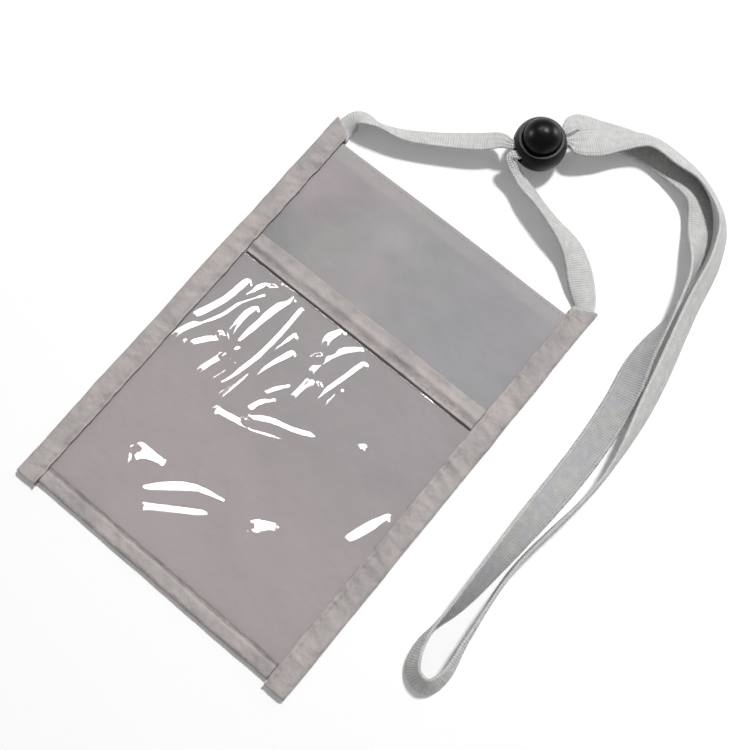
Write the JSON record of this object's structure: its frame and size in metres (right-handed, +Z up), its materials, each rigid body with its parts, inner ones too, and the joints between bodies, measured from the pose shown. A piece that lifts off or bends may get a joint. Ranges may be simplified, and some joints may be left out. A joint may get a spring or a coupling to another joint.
{
  "type": "neck organizer",
  "caption": "Flat nylon badge wallet with a clear front window, on a woven neck strap with a sliding push-button cord lock.",
  "frame": {"origin": "centre of the pouch in plan, on the surface that it lies on", "axes": "+X across the pouch to the right, +Y towards its top edge and the lock, +Z up through the window; the pouch lies on its back"},
  "size_m": [0.1671, 0.2531, 0.0229],
  "materials": {
    "nylon": "grey plain-woven nylon with a slight sheen",
    "nylon_tape": "grey nylon tape, folded and puckered along its seam",
    "clear_vinyl": "clear glossy soft vinyl, gently rippled",
    "woven_lace": "pale grey flat woven lace with fine cross ribs",
    "thread": "grey polyester sewing thread",
    "black_plastic": "black moulded plastic, satin",
    "spring_steel": "bright spring wire"
  },
  "bodies": {
    "pouch": {"back_panel": "nylon", "front_panel": "nylon", "window_hem": "nylon", "window_film": "clear_vinyl", "bottom_binding": "nylon_tape", "left_binding": "nylon_tape", "right_binding": "nylon_tape", "neck_strap": "woven_lace", "left_seam_thread": "thread", "right_seam_thread": "thread", "bottom_seam_thread": "thread", "window_seam_thread": "thread", "top_seam_thread": "thread", "left_bar_tack": "thread", "right_bar_tack": "thread"},
    "lock": {"lock_barrel": "black_plastic", "lock_spring": "spring_steel"},
    "button": {"lock_plunger": "black_plastic"}
  },
  "joints": [
    {"name": "lock_slide", "type": "slide", "parent": "pouch", "child": "lock", "axis": [0.5736, 0.8192, 0], "range_m": [-0.01, 0.02], "deforming": ["neck_strap"]},
    {"name": "button_press", "type": "slide", "parent": "lock", "child": "button", "axis": [0, 0, -1], "range_m": [0, 0.0022], "stiffness_N_per_m": 300, "springref_m": -0.004, "deforming": ["lock_spring"]}
  ]
}
